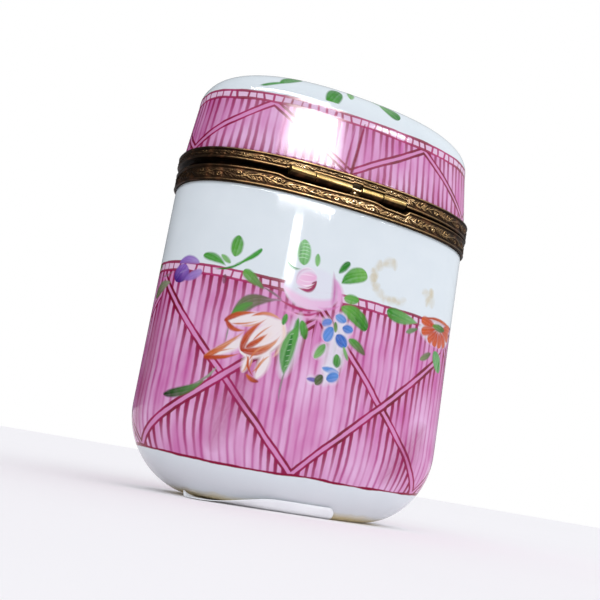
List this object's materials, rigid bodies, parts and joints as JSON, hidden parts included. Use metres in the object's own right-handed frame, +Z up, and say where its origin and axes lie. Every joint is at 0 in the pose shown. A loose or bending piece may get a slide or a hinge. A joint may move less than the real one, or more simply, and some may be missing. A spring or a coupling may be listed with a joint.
{
  "type": "hinged porcelain trinket box",
  "caption": "Tall oval hinged porcelain box with a domed lid, embossed bronze mounts, a barrel hinge at the back and a snap clasp, painted with flowers over a pink trellis.",
  "frame": {"origin": "centre of the base, on the plane that the box stands on", "axes": "+Z up along the height, +X along the wide side, hinge on the -Y side and clasp on the +Y side"},
  "size_m": [0.049, 0.0276, 0.0645],
  "materials": {
    "painted_porcelain": "glossy clear glaze over painted pink trellis and flowers",
    "bronze": "embossed antique bronze with dark patina in the relief",
    "cement": "matt set cement",
    "label_paper": "plain white satin paper sticker"
  },
  "bodies": {
    "body": {"porcelain_body": "painted_porcelain", "base_label": "label_paper", "body_rim": "bronze", "body_collar": "bronze", "body_bedding": "cement", "hinge_bearer": "bronze", "hinge_knuckle_long": "bronze", "hinge_knuckle_short": "bronze", "hinge_stop": "bronze", "catch_stud": "bronze"},
    "lid": {"porcelain_lid": "painted_porcelain", "lid_rim": "bronze", "lid_bedding": "cement", "hinge_knuckle_left": "bronze", "hinge_knuckle_right": "bronze", "hinge_pin": "bronze", "clasp_rivets": "bronze"},
    "clasp": {"clasp_tongue": "bronze", "clasp_thumbpiece": "bronze"}
  },
  "joints": [
    {"name": "lid_hinge", "type": "hinge", "parent": "body", "child": "lid", "pos_m": [-0.0025, -0.0123, 0.0471], "axis": [1, 0, 0], "range_deg": [0, 100]},
    {"name": "clasp_flex", "type": "hinge", "parent": "lid", "child": "clasp", "pos_m": [0, 0.01365, 0.0482], "axis": [1, 0, 0], "range_deg": [0, 6], "stiffness_Nm_per_rad": 0.02}
  ]
}
